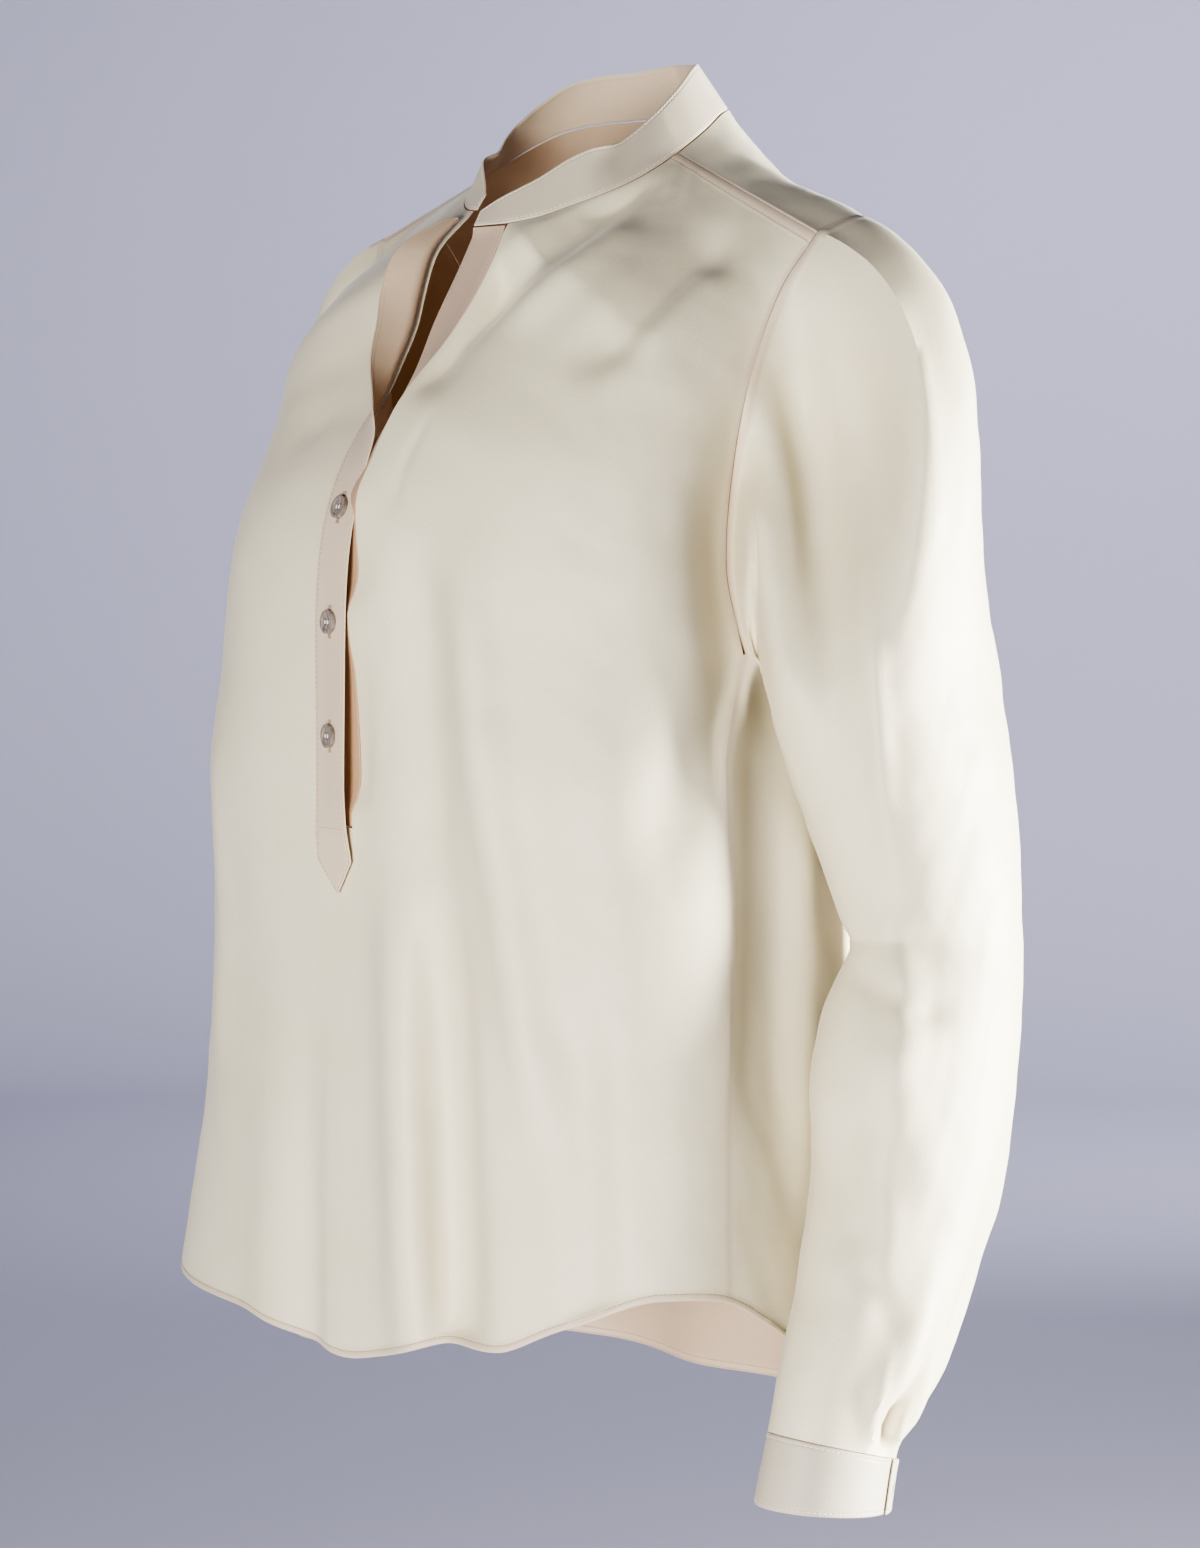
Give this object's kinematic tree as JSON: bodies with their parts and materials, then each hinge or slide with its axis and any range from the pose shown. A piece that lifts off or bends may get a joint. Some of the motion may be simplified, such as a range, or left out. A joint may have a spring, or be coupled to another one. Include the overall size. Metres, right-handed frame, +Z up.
{
  "type": "silk blouse",
  "caption": "Loose long-sleeved silk crepe blouse with a band collar, half placket, curved shirt-tail hem and narrow cuffs, held in its worn form.",
  "frame": {"origin": "midway between the two high shoulder points, where the forward shoulder seams meet the collar and the shoulders of a wearer carry the blouse", "axes": "+Z up, -Y out of the wearer's chest, +X to the wearer's left"},
  "size_m": [0.5792, 0.2981, 0.7542],
  "materials": {
    "silk": "soft matte silk crepe",
    "shell": "polished river shell"
  },
  "bodies": {
    "root": {"front": "silk", "back": "silk", "sleeve_left": "silk", "sleeve_right": "silk", "collar": "silk", "placket_top": "silk", "placket_under": "silk", "cuff_left": "silk", "cuff_right": "silk", "button_1": "shell", "button_2": "shell", "button_3": "shell", "cuff_button_left": "shell", "cuff_button_right": "shell"}
  },
  "joints": []
}
